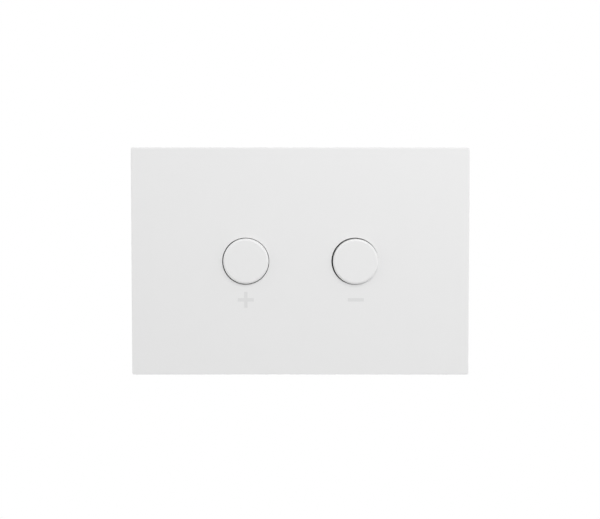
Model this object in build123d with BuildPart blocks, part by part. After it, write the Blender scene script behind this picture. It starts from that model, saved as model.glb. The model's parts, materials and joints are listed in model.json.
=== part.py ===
from build123d import *
import math
import os

# Dual flush button plate for a concealed cistern, in millimetres.
# X runs to the right as seen from the room, Y runs into the wall and Z runs up.
# The origin is the middle of the plate's rear rim, so the wall's surface is the plane Y = 0.

# Front plate
plate_width = 246.0
plate_height = 166.0
plate_depth = 8.0
plate_wall = 2.5
rim_wall = 2.2
plate_corner_radius = 1.6
plate_edge_radius = 1.0
plate_rib_inset = 20.0
plate_rib_height = 3.0
plate_rib_wall = 1.4

# Buttons and the collars that they slide in, a little above the plate's middle
button_spacing = 79.5
button_rise = 0.25
button_diameter = 33.0
button_play = 0.65
button_proud = 3.0
button_travel = 6.0
button_face_wall = 2.2
button_side_wall = 1.8
button_edge_chamfer = 0.6
skirt_reach = 3.6
collar_wall = 1.8
collar_length = 5.5

# Where each loose button comes to lie in its hole, as shares of its play to the right and upwards
full_flush_lean = (0.26, 0.1)
half_flush_lean = (0.84, -0.38)

# Guide plate behind the buttons
guide_floor_wall = 2.0
guide_reach_across = 32.0
guide_height = 46.0
guide_corner_radius = 6.0
guide_lip_height = 3.0
guide_lip_wall = 1.6
guide_tube_wall = 1.5
guide_tube_inside = 4.0
guide_tube_outside = 2.0
guide_window_width = 9.0
guide_window_margin = 0.9
stop_gap = 0.3

# Screws that hold the guide plate on the front plate's bosses
screw_inset = 8.0
screw_diameter = 2.9
screw_length = 9.0
screw_head_diameter = 5.6
screw_head_height = 2.0
screw_hole_clearance = 0.25
screw_thread_gap = 0.05
screw_tip_gap = 1.0
screw_boss_wall = 2.2

# Stem of a button, its push rod and what the rod carries
stem_diameter = 10.0
stem_clearance = 0.1
washer_diameter = 16.0
washer_thickness = 1.2
washer_seat_gap = 0.1
rod_diameter = 6.0
rod_length = 58.0
rod_bore_clearance = 0.08
rod_engagement = 12.0
rod_end_gap = 0.3
lock_nut_flats = 10.0
lock_nut_thickness = 4.0
tip_diameter = 11.0
tip_end_wall = 4.0
tip_grip = 6.0

# Return spring
spring_wire = 1.2
spring_guide_gap = 0.6
spring_end_gap = 0.15
spring_turns = 4
spring_runs_per_turn = 9
spring_wire_sides = 4

# Mounting frame inside the wall's opening
window_gap = 3.0
window_height = 84.0
window_corner_radius = 8.0
frame_side_bar = 28.0
frame_cross_bar = 21.0
frame_corner_radius = 6.0
frame_setback = 5.0
frame_web = 3.0
frame_outer_flange = 12.0
frame_inner_flange = 8.0
frame_flange_wall = 2.0
frame_rib_height = 4.0
frame_rib_wall = 1.6
frame_rib_offset = 15.0

# Snap hooks that hold the plate to the frame
hook_spacing = 120.0
hook_width = 10.0
hook_wall = 2.0
hook_barb = 1.2
hook_barb_length = 3.5
hook_tip_wall = 1.0
hook_clearance = 0.2
hook_flex = 0.3

# Fixing studs and their wing nuts
stud_diameter = 6.0
stud_shank_diameter = 5.0
stud_shank_length = 44.0
stud_thread_length = 28.0
stud_nut_reach = 1.0
stud_slot_clearance = 0.3
stud_slot_length = 14.0
wing_nut_hub_flats = 11.0
wing_nut_span = 26.0
wing_nut_wing_wall = 3.2
wing_nut_thickness = 6.0
wing_nut_clearance = 0.08

# Depths of the main faces behind the wall's surface; those in front of it are negative
plate_face = -plate_depth
plate_inside = plate_face + plate_wall
collar_end = plate_inside + collar_length
button_face = plate_face - button_proud
button_inside = button_face + button_face_wall
skirt_end = collar_end + skirt_reach
guide_floor = skirt_end + button_travel + stop_gap
guide_back = guide_floor + guide_floor_wall
tube_front = guide_floor - guide_tube_inside
tube_end = guide_back + guide_tube_outside
stem_end = tube_end + washer_seat_gap
washer_back = stem_end + washer_thickness
lock_nut_back = washer_back + lock_nut_thickness
bore_front = stem_end - rod_engagement
rod_end = bore_front + rod_end_gap + rod_length
tip_bore_end = rod_end + rod_end_gap
frame_back = frame_setback + frame_web

# Radii that follow from the fits
button_radius = button_diameter / 2
hole_radius = button_radius + button_play
collar_radius = hole_radius + collar_wall
stem_radius = stem_diameter / 2
tube_bore_radius = stem_radius + button_play + stem_clearance
tube_radius = tube_bore_radius + guide_tube_wall
spring_radius = tube_radius + spring_guide_gap + spring_wire / 2
screw_radius = screw_diameter / 2
pilot_radius = screw_radius + screw_thread_gap
rod_radius = rod_diameter / 2
rod_bore_radius = rod_radius + rod_bore_clearance
stud_radius = stud_diameter / 2
shank_radius = stud_shank_diameter / 2

# Places that line up between the pieces
guide_width = button_spacing + 2 * guide_reach_across
window_width = guide_width + 2 * window_gap
frame_width = window_width + 2 * frame_side_bar
frame_height = window_height + 2 * frame_cross_bar
side_bar_middle = (window_width + frame_side_bar) / 2
cross_bar_middle = (window_height + frame_cross_bar) / 2
screw_across = guide_width / 2 - screw_inset
screw_places = [(-screw_across, 0), (screw_across, 0)]
button_centres = {"full_flush": -button_spacing / 2, "half_flush": button_spacing / 2}
button_leans = {"full_flush": full_flush_lean, "half_flush": half_flush_lean}
stud_centres = {"left": -side_bar_middle, "right": side_bar_middle}
hook_inside = cross_bar_middle - hook_wall / 2
hook_outside = cross_bar_middle + hook_wall / 2


def facing_room(depth, across=0.0, up=0.0):
    """Sketch plane that faces the room, at a depth behind the wall's surface; extrusions come forwards."""
    return Plane(origin=(across, depth, up), x_dir=(1, 0, 0), z_dir=(0, -1, 0))


def half_section(across, up):
    """Sketch plane through an axis that runs into the wall, with radius as its X and depth as its Y."""
    return Plane(origin=(across, 0, up), x_dir=(1, 0, 0), z_dir=(0, 0, 1))


def depth_axis(across, up):
    """Axis that runs straight into the wall."""
    return Axis((across, 0, up), (0, 1, 0))


def save(piece, name):
    """Labels a finished piece and writes it to its own file."""
    piece.part.label = name
    export_step(piece.part, f"parts/{name}.step")


os.makedirs("parts", exist_ok=True)

# Front plate: a shallow tray with ribs, a collar behind each hole, bosses for the guide plate and four hooks
barb_front = frame_back + hook_clearance
barb_back = barb_front + hook_barb_length
with BuildPart() as front_plate:
    with BuildSketch(facing_room(0)):
        RectangleRounded(plate_width, plate_height, plate_corner_radius)
    extrude(amount=plate_depth)
    fillet(front_plate.faces().sort_by(Axis.Y)[0].edges(), plate_edge_radius)
    with BuildSketch(facing_room(0)):
        Rectangle(plate_width - 2 * rim_wall, plate_height - 2 * rim_wall)
    extrude(amount=plate_depth - plate_wall, mode=Mode.SUBTRACT)
    with BuildSketch(facing_room(plate_inside + plate_rib_height)):
        with GridLocations(plate_width / 2 - plate_rib_inset, 0, 3, 1):
            Rectangle(plate_rib_wall, plate_height - rim_wall)
        with GridLocations(0, plate_height - 2 * plate_rib_inset, 1, 2):
            Rectangle(plate_width - rim_wall, plate_rib_wall)
    extrude(amount=plate_rib_height)
    with BuildSketch(facing_room(collar_end, up=button_rise)):
        with GridLocations(button_spacing, 0, 2, 1):
            Circle(collar_radius)
    extrude(amount=collar_length)
    with BuildSketch(facing_room(guide_floor, up=button_rise)):
        with Locations(*screw_places):
            Circle(pilot_radius + screw_boss_wall)
    extrude(amount=guide_floor - plate_inside)
    for side in (-1, 1):
        for edge in (-1, 1):
            with BuildSketch(Plane.YZ.offset(side * hook_spacing / 2 - hook_width / 2)):
                with BuildLine():
                    Polyline(
                        (plate_inside, edge * hook_inside),
                        (barb_back, edge * hook_inside),
                        (barb_back, edge * (hook_inside + hook_tip_wall)),
                        (barb_front, edge * (hook_outside + hook_barb)),
                        (barb_front, edge * hook_outside),
                        (plate_inside, edge * hook_outside),
                        close=True,
                    )
                make_face()
            extrude(amount=hook_width)
    with BuildSketch(facing_room(collar_end, up=button_rise)):
        with GridLocations(button_spacing, 0, 2, 1):
            Circle(hole_radius)
    extrude(amount=collar_end - plate_face, mode=Mode.SUBTRACT)
    with BuildSketch(facing_room(guide_floor, up=button_rise)):
        with Locations(*screw_places):
            Circle(pilot_radius)
    extrude(amount=screw_length - guide_floor_wall + screw_tip_gap, mode=Mode.SUBTRACT)
save(front_plate, "front_plate")

# Guide plate: a lipped panel with a tube that guides each stem and windows round each spring's seat
window_inner = spring_radius + spring_wire / 2 + guide_window_margin
window_outer = button_radius - button_side_wall - guide_window_margin
with BuildPart() as guide_plate:
    with BuildSketch(facing_room(guide_back, up=button_rise)):
        RectangleRounded(guide_width, guide_height, guide_corner_radius)
    extrude(amount=guide_floor_wall)
    with BuildSketch(facing_room(guide_back + guide_lip_height, up=button_rise)):
        RectangleRounded(guide_width, guide_height, guide_corner_radius)
        RectangleRounded(
            guide_width - 2 * guide_lip_wall,
            guide_height - 2 * guide_lip_wall,
            guide_corner_radius - guide_lip_wall,
            mode=Mode.SUBTRACT,
        )
    extrude(amount=guide_lip_height)
    with BuildSketch(facing_room(tube_end, up=button_rise)):
        with GridLocations(button_spacing, 0, 2, 1):
            Circle(tube_radius)
    extrude(amount=tube_end - tube_front)
    with BuildSketch(facing_room(tube_end, up=button_rise)):
        with GridLocations(button_spacing, 0, 2, 1):
            Circle(tube_bore_radius)
    extrude(amount=tube_end - tube_front, mode=Mode.SUBTRACT)
    with BuildSketch(facing_room(guide_back, up=button_rise)):
        with GridLocations(button_spacing, 0, 2, 1):
            with PolarLocations((window_inner + window_outer) / 2, 4):
                Rectangle(window_outer - window_inner, guide_window_width)
        with Locations(*screw_places):
            Circle(screw_radius + screw_hole_clearance)
    extrude(amount=guide_floor_wall, mode=Mode.SUBTRACT)
save(guide_plate, "guide_plate")

# Screws through the ends of the guide plate into the front plate's bosses
with BuildPart() as guide_screws:
    with BuildSketch(facing_room(guide_back + screw_head_height, up=button_rise)):
        with Locations(*screw_places):
            Circle(screw_head_diameter / 2)
    extrude(amount=screw_head_height)
    with BuildSketch(facing_room(guide_back, up=button_rise)):
        with Locations(*screw_places):
            Circle(screw_radius)
    extrude(amount=screw_length)
save(guide_screws, "guide_screws")

# Mounting frame: a ribbed channel round an open window, with slots for the hooks and the studs
hook_slot_height = hook_wall + hook_barb + hook_flex + hook_clearance
hook_slot_middle = hook_outside + hook_clearance - hook_slot_height / 2
with BuildPart() as mounting_frame:
    with BuildSketch(facing_room(frame_back)):
        RectangleRounded(frame_width, frame_height, frame_corner_radius)
        RectangleRounded(window_width, window_height, window_corner_radius, mode=Mode.SUBTRACT)
    extrude(amount=frame_web)
    with BuildSketch(facing_room(frame_setback + frame_outer_flange)):
        RectangleRounded(frame_width, frame_height, frame_corner_radius)
        RectangleRounded(
            frame_width - 2 * frame_flange_wall,
            frame_height - 2 * frame_flange_wall,
            frame_corner_radius - frame_flange_wall,
            mode=Mode.SUBTRACT,
        )
    extrude(amount=frame_outer_flange - frame_web)
    with BuildSketch(facing_room(frame_setback + frame_inner_flange)):
        RectangleRounded(
            window_width + 2 * frame_flange_wall,
            window_height + 2 * frame_flange_wall,
            window_corner_radius + frame_flange_wall,
        )
        RectangleRounded(window_width, window_height, window_corner_radius, mode=Mode.SUBTRACT)
    extrude(amount=frame_inner_flange - frame_web)
    with BuildSketch(facing_room(frame_back + frame_rib_height)):
        for middle in (-hook_spacing / 2, hook_spacing / 2):
            with Locations((middle, cross_bar_middle), (middle, -cross_bar_middle)):
                with GridLocations(2 * frame_rib_offset, 0, 2, 1):
                    Rectangle(frame_rib_wall, frame_cross_bar - frame_flange_wall)
        with GridLocations(0, 2 * cross_bar_middle, 1, 2):
            Rectangle(frame_rib_wall, frame_cross_bar - frame_flange_wall)
        with GridLocations(2 * side_bar_middle, stud_slot_length + 2 * frame_rib_offset, 2, 2):
            Rectangle(frame_side_bar - frame_flange_wall, frame_rib_wall)
    extrude(amount=frame_rib_height)
    with BuildSketch(facing_room(frame_back)):
        with GridLocations(hook_spacing, 2 * hook_slot_middle, 2, 2):
            Rectangle(hook_width + 2 * hook_flex, hook_slot_height)
        with GridLocations(2 * side_bar_middle, 0, 2, 1):
            SlotOverall(stud_slot_length, stud_diameter + 2 * stud_slot_clearance, rotation=90)
    extrude(amount=frame_web, mode=Mode.SUBTRACT)
save(mounting_frame, "mounting_frame")

# Fixing studs, with a slim shank and a thick rear end, and the wing nuts that clamp the frame on them
stud_front = frame_setback - wing_nut_thickness - stud_nut_reach
shank_end = stud_front + stud_shank_length
stud_end = shank_end + stud_thread_length
for side, centre in stud_centres.items():
    with BuildPart() as fixing_stud:
        with BuildSketch(facing_room(shank_end, centre)):
            Circle(shank_radius)
        extrude(amount=stud_shank_length)
        with BuildSketch(facing_room(stud_end, centre)):
            Circle(stud_radius)
        extrude(amount=stud_thread_length)
    save(fixing_stud, f"{side}_fixing_stud")

    with BuildPart() as wing_nut:
        with BuildSketch(facing_room(frame_setback, centre)):
            RegularPolygon(wing_nut_hub_flats / 2, 6, major_radius=False)
            Rectangle(wing_nut_wing_wall, wing_nut_span)
            Circle(shank_radius + wing_nut_clearance, mode=Mode.SUBTRACT)
        extrude(amount=wing_nut_thickness)
    save(wing_nut, f"{side}_wing_nut")

# Working parts of each button
for flush, centre in button_centres.items():
    lean_across, lean_up = button_leans[flush]
    across = centre + lean_across * button_play
    up = button_rise + lean_up * button_play

    # Button: a cup with an eased front edge and a stem that is bored for the rod
    with BuildPart() as button:
        with BuildSketch(half_section(across, up)):
            with BuildLine():
                Polyline(
                    (0, button_face),
                    (button_radius - button_edge_chamfer, button_face),
                    (button_radius, button_face + button_edge_chamfer),
                    (button_radius, skirt_end),
                    (button_radius - button_side_wall, skirt_end),
                    (button_radius - button_side_wall, button_inside),
                    (stem_radius, button_inside),
                    (stem_radius, stem_end),
                    (rod_bore_radius, stem_end),
                    (rod_bore_radius, bore_front),
                    (0, bore_front),
                    close=True,
                )
            make_face()
        revolve(axis=depth_axis(across, up))
    save(button, f"{flush}_button")

    # Return spring: runs of wire that climb round the guide tube, from the button back to its seat
    spring_front = button_inside + spring_wire / 2 + spring_end_gap
    spring_back = guide_floor - spring_wire / 2 - spring_end_gap
    spring_runs = spring_turns * spring_runs_per_turn
    spring_points = []
    for step in range(spring_runs + 1):
        turn = 2 * math.pi * step / spring_runs_per_turn
        depth = spring_front + (spring_back - spring_front) * step / spring_runs
        spring_up = button_rise + spring_radius * math.sin(turn)
        spring_points.append((centre + spring_radius * math.cos(turn), depth, spring_up))
    with BuildPart() as return_spring:
        with BuildLine() as coil:
            Polyline(*spring_points)
        with BuildSketch(Plane(origin=coil.line @ 0, z_dir=coil.line % 0)):
            RegularPolygon(spring_wire / 2, spring_wire_sides)
        sweep(path=coil.line, transition=Transition.RIGHT)
    save(return_spring, f"{flush}_return_spring")

    # Stop washer on the rod, which rests on the guide tube and holds the button in
    with BuildPart() as stop_washer:
        with BuildSketch(facing_room(washer_back, across, up)):
            Circle(washer_diameter / 2)
            Circle(rod_bore_radius, mode=Mode.SUBTRACT)
        extrude(amount=washer_thickness)
    save(stop_washer, f"{flush}_stop_washer")

    # Push rod, screwed into the stem
    with BuildPart() as push_rod:
        with BuildSketch(facing_room(rod_end, across, up)):
            Circle(rod_radius)
        extrude(amount=rod_length)
    save(push_rod, f"{flush}_push_rod")

    # Lock nut, which clamps the washer against the stem and sets the rod's length
    with BuildPart() as lock_nut:
        with BuildSketch(facing_room(lock_nut_back, across, up)):
            RegularPolygon(lock_nut_flats / 2, 6, major_radius=False)
            Circle(rod_bore_radius, mode=Mode.SUBTRACT)
        extrude(amount=lock_nut_thickness)
    save(lock_nut, f"{flush}_lock_nut")

    # Soft tip on the end of the rod
    with BuildPart() as rod_tip:
        with BuildSketch(facing_room(tip_bore_end + tip_end_wall, across, up)):
            Circle(tip_diameter / 2)
        extrude(amount=tip_end_wall + rod_end_gap + tip_grip)
        with BuildSketch(facing_room(tip_bore_end, across, up)):
            Circle(rod_bore_radius)
        extrude(amount=rod_end_gap + tip_grip, mode=Mode.SUBTRACT)
    save(rod_tip, f"{flush}_rod_tip")
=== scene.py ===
# %% [markdown]
# # A dual flush button plate
#
# This lesson dresses a wall plate for a hidden cistern. Two round buttons stand in a flat white plate: the left one
# gives a full flush and the right one a half flush. Behind the plate, each button slides in a guide, rests on a spring
# and pushes a long rod, and a frame holds it all in the wall.
#
# The solids come from a drawing that is already made, and they give every size and place. We load them first, keep
# those whose shape is right, and model finer pieces over the others. X runs to the right, Y into the wall and Z up, in
# metres.

# %% Load the solids
import json
import math

import bmesh
import bpy
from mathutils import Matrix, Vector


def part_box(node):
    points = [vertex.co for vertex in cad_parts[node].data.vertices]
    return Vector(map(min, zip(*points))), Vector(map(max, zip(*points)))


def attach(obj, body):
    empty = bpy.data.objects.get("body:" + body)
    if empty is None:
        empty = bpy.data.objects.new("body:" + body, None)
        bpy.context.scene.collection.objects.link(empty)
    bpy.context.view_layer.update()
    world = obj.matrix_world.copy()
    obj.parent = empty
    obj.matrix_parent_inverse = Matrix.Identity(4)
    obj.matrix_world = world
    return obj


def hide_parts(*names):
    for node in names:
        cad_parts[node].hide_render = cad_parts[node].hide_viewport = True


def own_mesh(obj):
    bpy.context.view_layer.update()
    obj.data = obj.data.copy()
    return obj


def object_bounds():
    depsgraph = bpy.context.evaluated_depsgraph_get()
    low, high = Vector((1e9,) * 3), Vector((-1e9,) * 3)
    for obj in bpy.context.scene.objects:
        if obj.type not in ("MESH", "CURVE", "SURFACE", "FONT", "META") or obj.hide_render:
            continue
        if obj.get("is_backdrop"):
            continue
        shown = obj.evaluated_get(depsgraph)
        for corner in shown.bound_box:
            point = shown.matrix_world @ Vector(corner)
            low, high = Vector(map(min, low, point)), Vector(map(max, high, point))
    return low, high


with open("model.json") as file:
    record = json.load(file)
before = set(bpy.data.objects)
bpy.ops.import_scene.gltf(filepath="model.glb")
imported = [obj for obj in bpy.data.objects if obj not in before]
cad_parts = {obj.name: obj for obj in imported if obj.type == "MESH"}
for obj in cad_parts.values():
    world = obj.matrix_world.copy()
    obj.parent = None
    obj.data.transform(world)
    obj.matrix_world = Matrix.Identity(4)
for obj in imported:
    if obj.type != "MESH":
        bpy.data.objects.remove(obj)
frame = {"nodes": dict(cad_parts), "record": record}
cad_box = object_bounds()
nodes = frame["nodes"]
mm = 0.001
print("loaded", len(nodes), "solids")

# %% [markdown]
# ## Camera
#
# The plate is seen almost square on, from a little above, through a long lens. A long lens keeps the plate's sides
# nearly parallel: here they lean together by less than two pixels. Such a camera could be found by trial, but the
# plate's four edges give its distance, height and tilt at once, so those numbers are written down here.

# %% Place the camera
scene = bpy.context.scene
scene.view_settings.view_transform = "Standard"
camera_place = (-0.00025, -1.03735, 0.0614)
looking_down = math.radians(3.33)
sensor_width = 36
lens_length = 85
bpy.ops.object.camera_add(location=camera_place, rotation=(math.pi / 2 - looking_down, 0, 0))
camera = bpy.context.object
camera.data.sensor_width = sensor_width
camera.data.lens = lens_length
scene.camera = camera
print("camera stands", round(-camera_place[1], 3), "m in front of the wall")

# %% [markdown]
# ## Sums on wires
#
# A finish is a tree of nodes, and most of its nodes do plain sums. Placing and linking each one by hand hides the sum,
# so one small class holds a node's output as a wire, and `+`, `-` and `*` on wires add the Math nodes. Its `add` puts
# in any other node: the kind, then its settings, then what its sockets get.


# %% A wire between nodes
class Wire:
    """An output in a node tree, which can be used in sums."""

    def __init__(self, tree, socket=None):
        self.tree = tree
        self.socket = socket

    def add(self, kind, settings=None, sockets=None, output=0):
        """Adds a node, sets it, feeds its sockets with values or wires, and gives one of its outputs."""
        node = self.tree.nodes.new(kind)
        for name, value in (settings or {}).items():
            setattr(node, name, value)
        for name, value in (sockets or {}).items():
            if isinstance(value, Wire):
                self.tree.links.new(value.socket, node.inputs[name])
            else:
                node.inputs[name].default_value = value
        return Wire(self.tree, node.outputs[output] if node.outputs else None)

    def work_out(self, operation, first, second):
        return self.add("ShaderNodeMath", {"operation": operation}, {0: first, 1: second})

    def __add__(self, other):
        return self.work_out("ADD", self, other)

    def __sub__(self, other):
        return self.work_out("SUBTRACT", self, other)

    def __rsub__(self, other):
        return self.work_out("SUBTRACT", other, self)

    def __mul__(self, other):
        return self.work_out("MULTIPLY", self, other)

    __radd__ = __add__
    __rmul__ = __mul__

    def between(self, first, second):
        """Mixes two colours, with this wire as the share of the second."""
        return self.add("ShaderNodeMix", {"data_type": "RGBA"}, {0: self, 6: first, 7: second}, 2)


# %% [markdown]
# ## Room
#
# The plate is shown on plain white, under soft light from the upper right. One big lamp gives the soft shadow at the
# lower left of each button. A small one, low and just behind the plate, keeps its lower edge as pale as the photo has
# it, and one further back lights the works for views from there. The rest is the world's own light, which is stronger
# from the sides than from the front, as in a tent of white cloth. Only rays that look straight at the world find it
# plain white. Stronger lamps on a backdrop could give that white as well, but the pale plastic would soon burn out.


# %% Light the room
def seen_directly(start):
    """1 for rays that the eye, a mirror or glass sends out, and 0 for those that only carry light about."""
    path = start.add("ShaderNodeLightPath").socket.node.outputs
    kinds = ("Camera", "Glossy", "Transmission")
    eye, mirror, glass = (Wire(start.tree, path[f"Is {kind} Ray"]) for kind in kinds)
    return start.work_out("MAXIMUM", eye, start.work_out("MAXIMUM", mirror, glass))


room_level = 0.34  # light from straight ahead
room_sides = 1.0  # more from the left and right
room_ends = 0.2  # more from above and below
room_top = 0.12  # added above and taken off below
white = (1.0, 1.0, 1.0, 1.0)
world = bpy.data.worlds.new("white_room")
world.use_nodes = True
world.node_tree.nodes.clear()
start = Wire(world.node_tree)
way = start.add("ShaderNodeTexCoord", output="Generated")
parts = way.add("ShaderNodeSeparateXYZ", None, {0: way}).socket.node.outputs
across, up = Wire(way.tree, parts["X"]), Wire(way.tree, parts["Z"])
level = room_level + room_sides * across * across + room_ends * up * up + room_top * up
cloth = start.add("ShaderNodeBackground", None, {"Color": white, "Strength": level})
backdrop = start.add("ShaderNodeBackground", None, {"Color": white, "Strength": 1.0})
shown = start.add("ShaderNodeMixShader", None, {0: seen_directly(start), 1: cloth, 2: backdrop})
start.add("ShaderNodeOutputWorld", None, {"Surface": shown})
scene.world = world


def hang_lamp(name, place, size, power):
    """A square soft lamp that faces the middle of the plate."""
    bpy.ops.object.light_add(type="AREA", location=place)
    lamp = bpy.context.object
    lamp.name = name
    lamp.data.size = size
    lamp.data.energy = power
    lamp.rotation_euler = (-lamp.location).to_track_quat("-Z", "Y").to_euler()


hang_lamp("key_lamp", place=(0.32, -1.0, 0.62), size=0.9, power=6.1)
hang_lamp("low_lamp", place=(0.0, 0.15, -0.8), size=0.2, power=2.2)
hang_lamp("rear_lamp", place=(0.8, 1.5, 1.1), size=0.9, power=5.0)

# %% [markdown]
# ## Finishes
#
# Moulded plastic is never one flat colour. The melt leaves faint clouds of tone, and the mould's spark-eroded wall
# leaves a fine even grain, which breaks up the shine. Both are made here from noise in the piece's own space, so they
# stay put from every side. A picture of plastic could do the same, but would have to be wrapped round each piece.


# %% Moulded plastics
def new_finish(name):
    """An empty material and the wire that gives each point's place on its piece."""
    finish = bpy.data.materials.new(name)
    finish.use_nodes = True
    finish.node_tree.nodes.clear()
    return finish, Wire(finish.node_tree).add("ShaderNodeTexCoord", output="Object")


def close_finish(place, sockets):
    shader = place.add("ShaderNodeBsdfPrincipled", None, sockets)
    place.add("ShaderNodeOutputMaterial", None, {"Surface": shader})


def clouds(place, size, detail):
    """Soft noise, from 0 to 1, whose patches are about that size."""
    return place.add("ShaderNodeTexNoise", None, {"Vector": place, "Scale": 1 / size, "Detail": detail})


def swing(noise, reach):
    """Noise moved to swing about zero, as far as that to each side."""
    return 2 * reach * (noise - 0.5)


def paint(colour, share=1.0):
    return tuple(channel * share for channel in colour) + (1.0,)


melt_size = 14 * mm
melt_dulls, pores_dull = 0.06, 0.05


def moulded_plastic(name, colour, rough, grain, depth, mottle):
    """Plastic with clouds in its colour, and a grain of a size and depth that roughens its shine."""
    finish, place = new_finish(name)
    melt = clouds(place, melt_size, detail=3.0)
    pores = clouds(place, grain, detail=2.0)
    close_finish(place, {
        "Base Color": melt.between(paint(colour, 1 - mottle), paint(colour, 1 + mottle)),
        "Roughness": rough + swing(melt, melt_dulls) + swing(pores, pores_dull),
        "Normal": place.add("ShaderNodeBump", None, {"Distance": depth, "Height": pores}),
    })
    return finish


# Colour, roughness, size and depth of the grain, and how far the colour swings
plastics = {
    "plate_plastic": ((0.84, 0.84, 0.84), 0.46, 0.35 * mm, 0.004 * mm, 0.008),
    "button_plastic": ((0.84, 0.84, 0.84), 0.56, 0.35 * mm, 0.003 * mm, 0.008),
    "sign_ink": ((0.75, 0.75, 0.75), 0.50, 0.3 * mm, 0.002 * mm, 0.015),
    # The guide plate is near black as painted shade: it darkens what shows through the gaps round the buttons.
    "guide_plastic": ((0.045, 0.046, 0.048), 0.45, 0.6 * mm, 0.012 * mm, 0.08),
    "frame_plastic": ((0.33, 0.34, 0.36), 0.52, 0.8 * mm, 0.03 * mm, 0.06),
    "nut_plastic": ((0.70, 0.70, 0.67), 0.38, 0.5 * mm, 0.005 * mm, 0.03),
    "rod_plastic": ((0.55, 0.57, 0.60), 0.36, 0.5 * mm, 0.005 * mm, 0.03),
}
finishes = {name: moulded_plastic(name, *recipe) for name, recipe in plastics.items()}
print("plastics:", list(finishes))

# %% [markdown]
# The studs and screws are zinc plated: bright, faintly blue, with a dull bloom in patches. The springs are bare drawn
# wire, darker and a little brown where oil has dried. The rods end in soft black caps, whose skin is dull and slightly
# dusty. For the metals the noise moves the colour and the shine together, since a dull patch is also a darker one.


# %% Metals and soft caps
scratch_size = 0.25 * mm
bloom_dulls, scratches_dull = 0.11, 0.05


def plated_metal(name, bright, dull, rough, patch, depth):
    """Metal that turns from bright to dull in patches, with fine scratches."""
    finish, place = new_finish(name)
    bloom = clouds(place, patch, detail=4.0)
    scratches = clouds(place, scratch_size, detail=2.0)
    close_finish(place, {
        "Base Color": bloom.between(paint(bright), paint(dull)),
        "Metallic": 1.0,
        "Roughness": rough + swing(bloom, bloom_dulls) + swing(scratches, scratches_dull),
        "Normal": place.add("ShaderNodeBump", None, {"Distance": depth, "Height": scratches}),
    })
    return finish


dust_size, skin_size = 3 * mm, 0.3 * mm
dust_dulls = 0.1


def soft_rubber(name, fresh, dusty, rough, depth):
    """Dull rubber with dust on it."""
    finish, place = new_finish(name)
    dust = clouds(place, dust_size, detail=5.0)
    skin = clouds(place, skin_size, detail=2.0)
    close_finish(place, {
        "Base Color": dust.between(paint(fresh), paint(dusty)),
        "Roughness": rough + swing(dust, dust_dulls),
        "Normal": place.add("ShaderNodeBump", None, {"Distance": depth, "Height": skin}),
    })
    return finish


# Bright colour, dull colour, roughness, size of the patches and depth of the scratches
metals = {
    "zinc_steel": ((0.60, 0.62, 0.65), (0.42, 0.44, 0.48), 0.38, 2.5 * mm, 0.006 * mm),
    "spring_steel": ((0.62, 0.62, 0.63), (0.44, 0.42, 0.39), 0.34, 4 * mm, 0.008 * mm),
}
for name, recipe in metals.items():
    finishes[name] = plated_metal(name, *recipe)
fresh_black, dusty_black = (0.028, 0.028, 0.029), (0.06, 0.06, 0.058)
finishes["tip_rubber"] = soft_rubber("tip_rubber", fresh_black, dusty_black, rough=0.68, depth=0.02 * mm)
print("finishes:", sorted(finishes))

# %% [markdown]
# ## Floor
#
# A pale floor well below the plate catches its shadow in views from other sides. It fades to white away from the
# middle, so that no edge of it shows against the white room. It neither throws light back nor shades the low lamp.

# %% Lay the floor
floor_size = 0.8
floor_height = -0.40
fade_start, fade_end = 0.16, 0.38
floor_tones = ((0.86, 0.86, 0.86), (0.90, 0.90, 0.90))
speckle_size = 6 * mm
bpy.ops.object.select_all(action="DESELECT")
bpy.ops.mesh.primitive_plane_add(size=floor_size, location=(0, 0, floor_height))
floor = bpy.context.object
floor.name = "floor"
floor.visible_diffuse = False
floor.visible_shadow = False
floor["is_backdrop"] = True
floor_finish, place = new_finish("pale_floor")
reach = place.add("ShaderNodeVectorMath", {"operation": "LENGTH"}, {0: place}, "Value")
smoothly = {"interpolation_type": "SMOOTHSTEP"}
fade = place.add("ShaderNodeMapRange", smoothly, {0: reach, 1: fade_start, 2: fade_end})
speckle = clouds(place, speckle_size, detail=4.0)
matt = place.add("ShaderNodeBsdfPrincipled", None, {
    "Base Color": speckle.between(*(paint(colour) for colour in floor_tones)),
    "Roughness": 1.0,
    "Specular IOR Level": 0.0,
})
glow = place.add("ShaderNodeEmission", None, {"Color": white, "Strength": 1.0})
surface = place.add("ShaderNodeMixShader", None, {0: fade * seen_directly(place), 1: matt, 2: glow})
place.add("ShaderNodeOutputMaterial", None, {"Surface": surface})
floor.data.materials.append(floor_finish)
print("floor lies at", floor_height, "m")

# %% [markdown]
# ## The front plate
#
# The front plate is a shallow tray with rounded edges, and behind its wall are the ribs, collars, bosses and hooks of
# such a moulding. Its solid has all of that already. It could be modelled again by hand, but nothing would be gained,
# so it stays as it is and only gets its finish. The other solids get theirs in the same loop.

# %% Finish the solids
for row in frame["record"]["subparts"]:
    solid = nodes[row["node"]]
    solid.data.materials.clear()
    solid.data.materials.append(finishes[row["material_slot"]])
print("finished", len(nodes), "solids")

# %% [markdown]
# ## Buttons
#
# Each button is a round cup with a stem in its middle, and its front edge is softly rounded for the thumb. It could be
# turned from a drawn outline with Spin. Here it is shaped the way a mould maker thinks: a plain disc, whose back is
# inset and pushed in to leave the wall, inset again and pulled out for the stem, and inset once more for the rod's
# bore. One button is made on the axis and copied to both places.
#
# Smooth shading bends the light on a flat face towards the rounding next to it. The Weighted Normal modifier gives big
# faces the say, so flats stay flat and only the rounding bends.


# %% Tools for shaping by hand
def only(piece):
    """Selects one piece and nothing else."""
    bpy.ops.object.select_all(action="DESELECT")
    piece.select_set(True)
    bpy.context.view_layer.objects.active = piece


def take_up(name):
    """Names the active piece and settles its place and turn in its mesh."""
    piece = bpy.context.object
    piece.name = name
    piece.data.name = name
    only(piece)
    bpy.ops.object.transform_apply(location=True, rotation=True, scale=True)
    return piece


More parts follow.
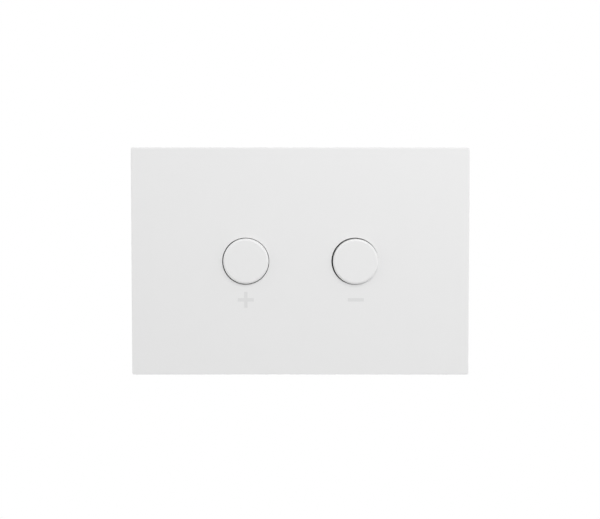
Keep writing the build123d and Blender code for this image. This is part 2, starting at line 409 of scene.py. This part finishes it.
def disc(name, radius, front, back, sides=96, turn=0.0):
    """A round bar on the depth axis, from one depth to another."""
    bpy.ops.object.select_all(action="DESELECT")
    bpy.ops.mesh.primitive_cylinder_add(
        vertices=sides,
        radius=radius,
        depth=back - front,
        location=(0, (front + back) / 2, 0),
        rotation=(math.pi / 2, turn, 0),
    )
    return take_up(name)


def pick(piece, kind, test):
    """In edit mode, selects the faces or edges of which every corner passes a test."""
    bpy.ops.mesh.select_mode(type=kind)
    bpy.ops.mesh.select_all(action="DESELECT")
    mesh = bmesh.from_edit_mesh(piece.data)
    for item in mesh.faces if kind == "FACE" else mesh.edges:
        item.select_set(all(test(corner.co) for corner in item.verts))
    mesh.select_flush_mode()
    bmesh.update_edit_mesh(piece.data)


hair = 0.001 * mm


def at_depth(depth):
    return lambda corner: abs(corner.y - depth) < hair


def push(depth):
    bpy.ops.mesh.extrude_region_move(TRANSFORM_OT_translate={"value": (0, depth, 0)})


def round_edges(piece, test, width, segments):
    """Rounds the edges of which both ends pass a test. One segment makes a chamfer."""
    pick(piece, "EDGE", test)
    bpy.ops.mesh.bevel(offset=width, offset_type="OFFSET", segments=segments, profile=0.5, affect="EDGES")


def smooth(piece, angle=35):
    """Leaves edit mode with every face outwards, smooth but for sharper corners, and flats kept flat."""
    bpy.ops.object.mode_set(mode="EDIT")
    bpy.ops.mesh.select_all(action="SELECT")
    bpy.ops.mesh.remove_doubles(threshold=hair)
    bpy.ops.mesh.normals_make_consistent(inside=False)
    bpy.ops.object.mode_set(mode="OBJECT")
    bpy.ops.object.shade_smooth_by_angle(angle=math.radians(angle))
    flats = piece.modifiers.new("flats", "WEIGHTED_NORMAL")
    flats.keep_sharp = True
    bpy.ops.object.modifier_apply(modifier=flats.name)
    print(piece.name, "has", len(piece.data.polygons), "faces")


# %% Shape a button
button_low, button_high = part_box("full_flush_button")
button_radius = (button_high.x - button_low.x) / 2
button_face = button_low.y
stem_end = button_high.y
skirt_end = 3.6 * mm
button_wall = 1.8 * mm
face_wall = 2.2 * mm
button_inside = button_face + face_wall
thumb_rounding = 1.8 * mm
skirt_rounding = 0.3 * mm
stem_radius = 5 * mm
bore_radius = 3.08 * mm
bore_length = 12 * mm
button = disc("button", button_radius, button_face, skirt_end, sides=160)
bpy.ops.object.mode_set(mode="EDIT")
pick(button, "FACE", at_depth(skirt_end))
bpy.ops.mesh.inset(thickness=button_wall)
push(button_inside - skirt_end)
bpy.ops.mesh.inset(thickness=button_radius - button_wall - stem_radius)
push(stem_end - button_inside)
bpy.ops.mesh.inset(thickness=stem_radius - bore_radius)
push(-bore_length)
round_edges(button, at_depth(button_face), thumb_rounding, segments=12)
round_edges(button, at_depth(skirt_end), skirt_rounding, segments=2)
smooth(button)

# %% [markdown]
# A copy must bring its own mesh, because its place is settled there: a finished piece sits at the origin, as the
# solids do. Each copy then rides on the body it belongs to, stands for its solid, and names the finish it takes.


# %% Set a button in each hole
def copy_to(model, name, across, up, twist=0.0):
    """A copy with its own mesh, moved from the axis to its place."""
    only(model)
    bpy.ops.object.duplicate()
    bpy.context.object.location = (across, 0, up)
    bpy.context.object.rotation_euler.y = twist
    return take_up(name)


def fit(piece, node, body, slot):
    """Gives a piece its finish and its body, in place of a solid."""
    piece.data.materials.clear()
    piece.data.materials.append(finishes[slot])
    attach(piece, body)
    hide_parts(node)


def middle(node):
    """Where a solid's axis stands, across and up."""
    low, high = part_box(node)
    return (low.x + high.x) / 2, (low.z + high.z) / 2


def fit_copies(model, suffix, places):
    """Copies a model to each solid's place, fits it there, and removes the model."""
    for node, body, slot in places:
        fit(copy_to(model, f"{node}_{suffix}", *middle(node)), node, body, slot)
    bpy.data.objects.remove(model)
    print(suffix, "pieces:", [place[0] for place in places])


def both_plungers(part, slot):
    return [(f"{flush}_{part}", f"{flush}_plunger", slot) for flush in ("full_flush", "half_flush")]


fit_copies(button, "moulded", both_plungers("button", "button_plastic"))

# %% [markdown]
# ## Plus and minus
#
# A plus marks the full flush and a minus the half flush, printed in pale grey below the buttons. Text objects have
# both signs, but with a typeface's own widths, so each is grown from a small square: arms to both sides for the minus,
# and arms up and down too for the plus. Solidify gives the ink its thickness, far less than a hair's, so it lies on
# the plate and yet has real edges.

# %% Print the signs
hole_across = 39.75 * mm
hole_up = middle("guide_plate")[1]
sign_drop = 28.2 * mm
minus_shift = 0.7 * mm
sign_span = 11.6 * mm
sign_bar = 2.45 * mm
ink_height = 0.04 * mm
ink_offset = 0.5  # three quarters of the ink stand proud of the plate
plate_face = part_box("front_plate")[0].y
along_x, along_z = 0, 2


def sign(name, across, arms):
    """A square that grows arms both ways along some axes, laid on the plate as a skin of ink."""
    bpy.ops.object.select_all(action="DESELECT")
    bpy.ops.mesh.primitive_plane_add(size=sign_bar, rotation=(math.pi / 2, 0, 0))
    mark = take_up(name)
    bpy.ops.object.mode_set(mode="EDIT")
    for axis in arms:
        for side in (-1, 1):
            root = side * sign_bar / 2
            arm = [0, 0, 0]
            arm[axis] = side * (sign_span - sign_bar) / 2
            pick(mark, "EDGE", lambda spot: abs(spot[axis] - root) < hair and abs(spot[2 - axis]) < sign_bar)
            bpy.ops.mesh.extrude_region_move(TRANSFORM_OT_translate={"value": arm})
    bpy.ops.object.mode_set(mode="OBJECT")
    mark.location = (across, plate_face, hole_up - sign_drop)
    take_up(name)
    ink = mark.modifiers.new("ink", "SOLIDIFY")
    ink.thickness = ink_height
    ink.offset = ink_offset
    bpy.ops.object.modifier_apply(modifier=ink.name)
    smooth(mark)
    mark.data.materials.append(finishes["sign_ink"])
    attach(mark, "plate_body")


sign("plus_sign", -hole_across, (along_x, along_z))
sign("minus_sign", hole_across + minus_shift, (along_x,))

# %% [markdown]
# ## Return springs
#
# A push spring is wire wound round and round, with the last turn at each end laid close so that it stands square. The
# Screw modifier winds a ring of points about an axis while it climbs. One steady climb would leave the ends sticking
# up, so the spring is wound in stretches, each with its share of a turn and its climb, and the stretches are merged
# into one wire.


# %% Tools for winding
def join(pieces):
    """Joins pieces into the first of them."""
    only(pieces[0])
    for piece in pieces:
        piece.select_set(True)
    bpy.ops.object.join()
    return pieces[0]


fewest_steps = 4


def wind(section, stretches, steps):
    """Winds an open section about the depth axis, in stretches of turns and climb, and closes both ends."""
    name, turned, climbed, runs = section.name, 0.0, 0.0, []
    for turns, climb in stretches:
        only(section)
        bpy.ops.object.duplicate()
        run = bpy.context.object
        run.location.y = climbed
        run.rotation_euler.y = turned
        take_up(name)
        screw = run.modifiers.new("wind", "SCREW")
        screw.axis = "Y"
        screw.angle = 2 * math.pi * turns
        screw.screw_offset = climb
        screw.steps = screw.render_steps = max(fewest_steps, round(steps * turns))
        bpy.ops.object.modifier_apply(modifier=screw.name)
        turned += 2 * math.pi * turns
        climbed += climb
        runs.append(run)
    bpy.data.objects.remove(section)
    coil = join(runs)
    coil.name = coil.data.name = name
    bpy.ops.object.mode_set(mode="EDIT")
    bpy.ops.mesh.select_all(action="SELECT")
    bpy.ops.mesh.remove_doubles(threshold=hair)
    bpy.ops.mesh.fill_holes(sides=0)
    smooth(coil)
    return coil


# %% Wind the springs
guide_floor = 9.9 * mm
spring_wire = 1.2 * mm
spring_radius = 8.45 * mm
spring_play = 0.05 * mm
spring_length = guide_floor - button_inside
closed_turn = (0.95, 1.16 * mm)  # turns, and how far they climb
easing_turn = (0.4, 1.0 * mm)
open_climb = spring_length - spring_wire - 2 * (spring_play + closed_turn[1] + easing_turn[1])
open_turns = (3.2, open_climb)
spring_start = (spring_radius, button_inside + spring_play + spring_wire / 2, 0)
bpy.ops.object.select_all(action="DESELECT")
bpy.ops.mesh.primitive_circle_add(vertices=12, radius=spring_wire / 2, location=spring_start)
stretches = (closed_turn, easing_turn, open_turns, easing_turn, closed_turn)
spring = wind(take_up("spring"), stretches, steps=40)
for flush, side in (("full_flush", -1), ("half_flush", 1)):
    node = f"{flush}_return_spring"
    coil = copy_to(spring, f"{node}_wound", side * hole_across, hole_up)
    fit(coil, node, "plate_body", "spring_steel")
    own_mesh(coil)
bpy.data.objects.remove(spring)

# %% [markdown]
# ## Threads
#
# The studs and the push rods are threaded. A thread is a ridge wound on a plain core, so the same winding tool makes
# it: a small plane, pinched on its outer side to the narrow flat of a crest, climbs one pitch each turn. A Boolean
# joins the ridge to the core, and another trims the ends to those of an eased bar. Facets that line up can upset a
# Boolean, so the round bars are turned a little. A bump map would be cheaper, but a thread shows its teeth along the
# edge of the rod.


# %% Tools for threads
def combine(piece, other, operation):
    """Joins a second piece to the first, cuts it away or trims to it, and uses it up."""
    only(piece)
    step = piece.modifiers.new("combine", "BOOLEAN")
    step.operation = operation
    step.solver = "EXACT"
    step.object = other
    bpy.ops.object.modifier_apply(modifier=step.name)
    bpy.data.objects.remove(other)


foot_sunk = 0.2 * mm
foot_share = 0.88  # of the pitch
crest_share = 0.16  # of the foot


def ridge(core, crest, pitch, front, back):
    """A thread's ridge on a core, from one depth to another."""
    foot = core - foot_sunk
    bpy.ops.object.select_all(action="DESELECT")
    bpy.ops.mesh.primitive_plane_add(size=1, location=((foot + crest) / 2, front, 0))
    bpy.context.object.scale = (crest - foot, foot_share * pitch, 1)
    section = take_up("ridge")
    bpy.ops.object.mode_set(mode="EDIT")
    pick(section, "EDGE", lambda corner: corner.x > (foot + crest) / 2)
    bpy.ops.transform.resize(value=(1, crest_share, 1), center_override=(crest, front, 0))
    bpy.ops.mesh.select_mode(type="FACE")
    bpy.ops.mesh.select_all(action="SELECT")
    bpy.ops.mesh.delete(type="ONLY_FACE")
    bpy.ops.object.mode_set(mode="OBJECT")
    return wind(section, (((back - front) / pitch, back - front),), steps=20)


margin = 0.3 * mm


def eased_bar(radius, front, back, ease):
    """A bar that is a little wider than that radius, with chamfered ends that cut into it."""
    bar = disc("bar", radius + margin, front, back, sides=44, turn=0.02)
    bpy.ops.object.mode_set(mode="EDIT")
    for depth in (front, back):
        round_edges(bar, at_depth(depth), ease + margin, segments=1)
    bpy.ops.object.mode_set(mode="OBJECT")
    return bar


overrun, ridge_overrun = 1.0 * mm, 0.65 * mm
thread_ease = 0.6 * mm


def threaded_bar(name, core, crest, pitch, front, back):
    """A bar with a thread from end to end, made a little too long and then trimmed."""
    bar = disc(name, core, front - overrun, back + overrun, sides=40, turn=0.04)
    combine(bar, ridge(core, crest, pitch, front - ridge_overrun, back + ridge_overrun), "UNION")
    combine(bar, eased_bar(crest, front, back, thread_ease), "INTERSECT")
    return bar


# %% Thread the studs
def left_and_right(part, slot):
    return [(f"{side}_{part}", "plate_body", slot) for side in ("left", "right")]


stud_low, stud_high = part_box("left_fixing_stud")
stud_radius = (stud_high.x - stud_low.x) / 2
stud_core = 2.42 * mm
shank_radius = 2.5 * mm
shank_core = 2.02 * mm
rear_pitch, front_pitch = 1.0 * mm, 0.8 * mm
rear_thread, front_thread = 28 * mm, 14 * mm
shank_front = stud_low.y + front_thread
shank_back = stud_high.y - rear_thread
overlap = 0.3 * mm
stud = threaded_bar("stud", stud_core, stud_radius, rear_pitch, shank_back, stud_high.y)
shank = disc("shank", shank_radius, shank_front - overlap, shank_back + overlap, sides=40, turn=0.05)
combine(stud, shank, "UNION")
stud_front = threaded_bar("stud_front", shank_core, shank_radius, front_pitch, stud_low.y, shank_front)
combine(stud, stud_front, "UNION")
smooth(stud)
fit_copies(stud, "threaded", left_and_right("fixing_stud", "zinc_steel"))

# %% Thread the push rods
rod_low, rod_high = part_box("full_flush_push_rod")
rod_radius = (rod_high.x - rod_low.x) / 2
rod_core = 2.35 * mm
rod_pitch = 1.5 * mm
rod = threaded_bar("rod", rod_core, rod_radius, rod_pitch, rod_low.y, rod_high.y)
smooth(rod)
fit_copies(rod, "threaded", both_plungers("push_rod", "rod_plastic"))

# %% [markdown]
# ## Guide screws
#
# Two small self-tapping screws hold the guide plate. Each has a coarse thread on a pointed shank and a domed head with
# a cross in it. The cross could be a bump, but it is deep enough to throw a shadow, so it is cut by two thin tapered
# blades, as a driver's bit would fill it. No two screws stop at the same turn, so the second is copied with another
# twist.

# %% Shape a screw
screws_low, screws_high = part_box("guide_screws")
guide_back = 11.9 * mm
screw_front, screw_end = screws_low.y, screws_high.y
head_radius = 2.8 * mm
head_dome = 1.1 * mm
screw_radius = 1.45 * mm
screw_core = 1.05 * mm
screw_pitch = 1.25 * mm
point_length = 1.2 * mm
point_play = 0.1 * mm
thread_spare = 0.5 * mm
core_in_head, point_in_head = 0.2 * mm, 0.4 * mm
screw = disc("screw", screw_core, screw_front - overrun, guide_back + core_in_head, sides=32, turn=0.04)
thread = ridge(screw_core, screw_radius, screw_pitch, screw_front - thread_spare, guide_back - screw_pitch)
combine(screw, thread, "UNION")
point = disc("point", screw_radius + point_play, screw_front, guide_back + point_in_head, sides=44, turn=0.02)
bpy.ops.object.mode_set(mode="EDIT")
round_edges(point, at_depth(screw_front), point_length, segments=1)
bpy.ops.object.mode_set(mode="OBJECT")
combine(screw, point, "INTERSECT")
head = disc("head", head_radius, guide_back, screw_end, sides=64)
bpy.ops.object.mode_set(mode="EDIT")
round_edges(head, at_depth(screw_end), head_dome, segments=6)
bpy.ops.object.mode_set(mode="OBJECT")
combine(screw, head, "UNION")

# %% Cut the cross and drive both screws
cross_span = 3.2 * mm
cross_width = 0.75 * mm
cross_depth = 1.3 * mm
blade_taper = 0.55
cross_floor = screw_end - cross_depth
for quarter in (0, math.pi / 2):
    bpy.ops.object.select_all(action="DESELECT")
    bpy.ops.mesh.primitive_cube_add(size=1, location=(0, screw_end, 0), rotation=(0, quarter, 0))
    bpy.context.object.scale = (cross_span, 2 * cross_depth, cross_width)
    blade = take_up("blade")
    bpy.ops.object.mode_set(mode="EDIT")
    pick(blade, "FACE", at_depth(cross_floor))
    bpy.ops.transform.resize(value=(blade_taper, 1, blade_taper), center_override=(0, cross_floor, 0))
    bpy.ops.object.mode_set(mode="OBJECT")
    combine(screw, blade, "DIFFERENCE")
smooth(screw)
screw_across = screws_high.x - head_radius
twists = ((-1, 0.3), (1, 1.1))
copies = [copy_to(screw, "screw_copy", side * screw_across, hole_up, twist) for side, twist in twists]
guide_screws = join(copies)
guide_screws.name = guide_screws.data.name = "guide_screws_cross_headed"
fit(guide_screws, "guide_screws", "plate_body", "zinc_steel")
bpy.data.objects.remove(screw)

# %% [markdown]
# ## Washers, nuts and caps on the rods
#
# Each rod carries a washer, which stops the button from coming out, and a lock nut. The washer could be cut with a
# Boolean, but here its two faces are inset and then bridged, so that its hole opens with clean rings of faces.


# %% Shape a washer
def off_axis(corner):
    return math.hypot(corner.x, corner.z)


near = 0.02 * mm


def rim(depth, radius):
    """Tests for the circle of that radius at that depth."""
    return lambda corner: abs(corner.y - depth) < hair and abs(off_axis(corner) - radius) < near


washer_low, washer_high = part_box("full_flush_stop_washer")
washer_radius = (washer_high.x - washer_low.x) / 2
washer_rounding, washer_chamfer = 0.2 * mm, 0.1 * mm
washer = disc("washer", washer_radius, washer_low.y, washer_high.y)
bpy.ops.object.mode_set(mode="EDIT")
for face in (washer_low.y, washer_high.y):
    pick(washer, "FACE", at_depth(face))
    bpy.ops.mesh.inset(thickness=washer_radius - bore_radius)
pick(washer, "FACE", lambda corner: off_axis(corner) < bore_radius + near)
bpy.ops.mesh.bridge_edge_loops()
for face in (washer_low.y, washer_high.y):
    round_edges(washer, rim(face, washer_radius), washer_rounding, segments=3)
    round_edges(washer, rim(face, bore_radius), washer_chamfer, segments=1)
smooth(washer)
fit_copies(washer, "eased", both_plungers("stop_washer", "nut_plastic"))

# %% [markdown]
# A nut is a hexagon trimmed by a round bar with eased ends: where the two meet, the bar leaves the curved corners that
# every nut has. A bevel on the hexagon's own edges would leave them straight.

# %% Shape a lock nut
nut_low, nut_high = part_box("full_flush_lock_nut")
nut_corner = (nut_high.x - nut_low.x) / 2
nut_ease, nut_chamfer = 0.55 * mm, 0.3 * mm
nut = disc("nut", nut_corner, nut_low.y, nut_high.y, sides=6, turn=math.pi / 6)
combine(nut, eased_bar(nut_corner, nut_low.y, nut_high.y, nut_ease), "INTERSECT")
bore = disc("bore", bore_radius, nut_low.y - overrun, nut_high.y + overrun, sides=48)
combine(nut, bore, "DIFFERENCE")
bpy.ops.object.mode_set(mode="EDIT")
for face in (nut_low.y, nut_high.y):
    round_edges(nut, rim(face, bore_radius), nut_chamfer, segments=1)
smooth(nut)
fit_copies(nut, "eased", both_plungers("lock_nut", "nut_plastic"))

# %% [markdown]
# A soft cap sits on the end of each rod and pushes the valve's lever. Its end is well rounded, and a waist helps it to
# grip. The waist is made by three bisecting planes: the ring in the middle is then drawn in and rounded.

# %% Shape a soft cap
tip_low, tip_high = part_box("full_flush_rod_tip")
tip_radius = (tip_high.x - tip_low.x) / 2
tip_hole = 6.3 * mm
lip_rounding, mouth_rounding, end_rounding = 0.6 * mm, 0.3 * mm, 1.8 * mm
waist_place = 3.4 * mm
waist = tip_low.y + waist_place
waist_reach = 1.1 * mm
waist_share = 0.88
waist_rounding = 0.7 * mm
tip = disc("tip", tip_radius, tip_low.y, tip_high.y, sides=64)
bpy.ops.object.mode_set(mode="EDIT")
pick(tip, "FACE", at_depth(tip_low.y))
bpy.ops.mesh.inset(thickness=tip_radius - bore_radius)
push(tip_hole)
round_edges(tip, rim(tip_low.y, tip_radius), lip_rounding, segments=4)
round_edges(tip, rim(tip_low.y, bore_radius), mouth_rounding, segments=2)
round_edges(tip, rim(tip_high.y, tip_radius), end_rounding, segments=7)
for depth in (waist - waist_reach, waist, waist + waist_reach):
    bpy.ops.mesh.select_all(action="SELECT")
    bpy.ops.mesh.bisect(plane_co=(0, depth, 0), plane_no=(0, 1, 0))
pick(tip, "EDGE", rim(waist, tip_radius))
bpy.ops.transform.resize(value=(waist_share, 1, waist_share), center_override=(0, waist, 0))
bpy.ops.mesh.bevel(offset=waist_rounding, segments=4, affect="EDGES")
smooth(tip, angle=50)
fit_copies(tip, "rounded", both_plungers("rod_tip", "tip_rubber"))

# %% [markdown]
# ## Wing nuts
#
# The studs carry wing nuts, turned by hand to clamp the frame. A hexagonal hub is bored for the stud, and then a bar
# with a rounded end is joined to it on either side. The wings stand a little proud of the hub, as on a real nut, and
# that also keeps their faces from lying in one plane, where a Boolean can fail. A Bevel modifier eases every sharp
# edge at once at the end. Edges could be picked one by one, but a moulding has no knife edges at all.


# %% Shape a wing nut
sharp_edge = math.radians(40)


def ease_edges(piece, width, segments):
    """Rounds every sharp edge of a piece."""
    only(piece)
    ease = piece.modifiers.new("ease", "BEVEL")
    ease.limit_method = "ANGLE"
    ease.angle_limit = sharp_edge
    ease.width = width
    ease.segments = segments
    ease.use_clamp_overlap = False
    bpy.ops.object.modifier_apply(modifier=ease.name)


def wing_tip(depth):
    """Tests for the outer end of a wing at that depth."""
    return lambda corner: at_depth(depth)(corner) and abs(corner.z) > wing_end - hair


wing_low, wing_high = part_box("left_wing_nut")
stud_play = 0.08 * mm
bore_skin = 0.6 * mm
wing_bore = shank_radius + stud_play
wing_wall = 3.2 * mm
wing_root = wing_bore + bore_skin
wing_end = (wing_high.z - wing_low.z) / 2
wing_setback, hub_setback = 0.4 * mm, 0.6 * mm
wing_back = wing_high.y - wing_setback
wing_front_rounding, wing_back_rounding = 2.8 * mm, 1.2 * mm
wing_ease = 0.4 * mm
hub_corner = (wing_high.x - wing_low.x) / 2
hub_front = wing_low.y + hub_setback
wing_nut = disc("wing_nut", hub_corner, hub_front, wing_high.y, sides=6, turn=math.pi / 6)
bore = disc("bore", wing_bore, hub_front - overrun, wing_high.y + overrun, sides=48)
combine(wing_nut, bore, "DIFFERENCE")
for side in (-1, 1):
    bpy.ops.object.select_all(action="DESELECT")
    wing_middle = (0, (wing_low.y + wing_back) / 2, side * (wing_root + wing_end) / 2)
    bpy.ops.mesh.primitive_cube_add(size=1, location=wing_middle)
    bpy.context.object.scale = (wing_wall, wing_back - wing_low.y, wing_end - wing_root)
    wing = take_up("wing")
    bpy.ops.object.mode_set(mode="EDIT")
    for depth, rounding in ((wing_low.y, wing_front_rounding), (wing_back, wing_back_rounding)):
        round_edges(wing, wing_tip(depth), rounding, segments=6)
    bpy.ops.object.mode_set(mode="OBJECT")
    combine(wing_nut, wing, "UNION")
ease_edges(wing_nut, wing_ease, segments=3)
smooth(wing_nut)
fit_copies(wing_nut, "eased", left_and_right("wing_nut", "nut_plastic"))

# %% [markdown]
# ## Softened mouldings
#
# The guide plate and the frame come from moulds too, and their edges are rounded a little. The solids have them sharp,
# so each gets a copy with eased edges. A solid's mesh is loose triangles: the copy is merged, and flat triangles are
# dissolved into whole faces, because the Bevel modifier would stumble over the lines between them.


# %% Ease the edges of the guide plate and the frame
flat_enough = math.radians(1)


def eased_copy(node, slot, width):
    """A copy of a solid whose sharp edges are rounded."""
    piece = bpy.data.objects.new(f"{node}_eased", nodes[node].data.copy())
    scene.collection.objects.link(piece)
    only(piece)
    bpy.ops.mesh.customdata_custom_splitnormals_clear()
    bpy.ops.object.mode_set(mode="EDIT")
    bpy.ops.mesh.select_all(action="SELECT")
    bpy.ops.mesh.remove_doubles(threshold=hair)
    bpy.ops.mesh.dissolve_limited(angle_limit=flat_enough)
    bpy.ops.object.mode_set(mode="OBJECT")
    ease_edges(piece, width, segments=2)
    smooth(piece, angle=50)
    fit(piece, node, "plate_body", slot)


eased_copy("guide_plate", "guide_plastic", width=0.3 * mm)
eased_copy("mounting_frame", "frame_plastic", width=0.35 * mm)

# %% [markdown]
# ## Size of the dressed part
#
# The dressed part must stay inside the box of its solids, so both boxes are worked out, and the dressed part's reach
# is printed.

# %% Write the sizes
boxes = {"cad": [list(corner) for corner in cad_box], "visual": [list(corner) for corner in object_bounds()]}
reaches = [[round(place / mm, 1) for place in corner] for corner in boxes["visual"]]
print("dressed part reaches from", *reaches, "mm")
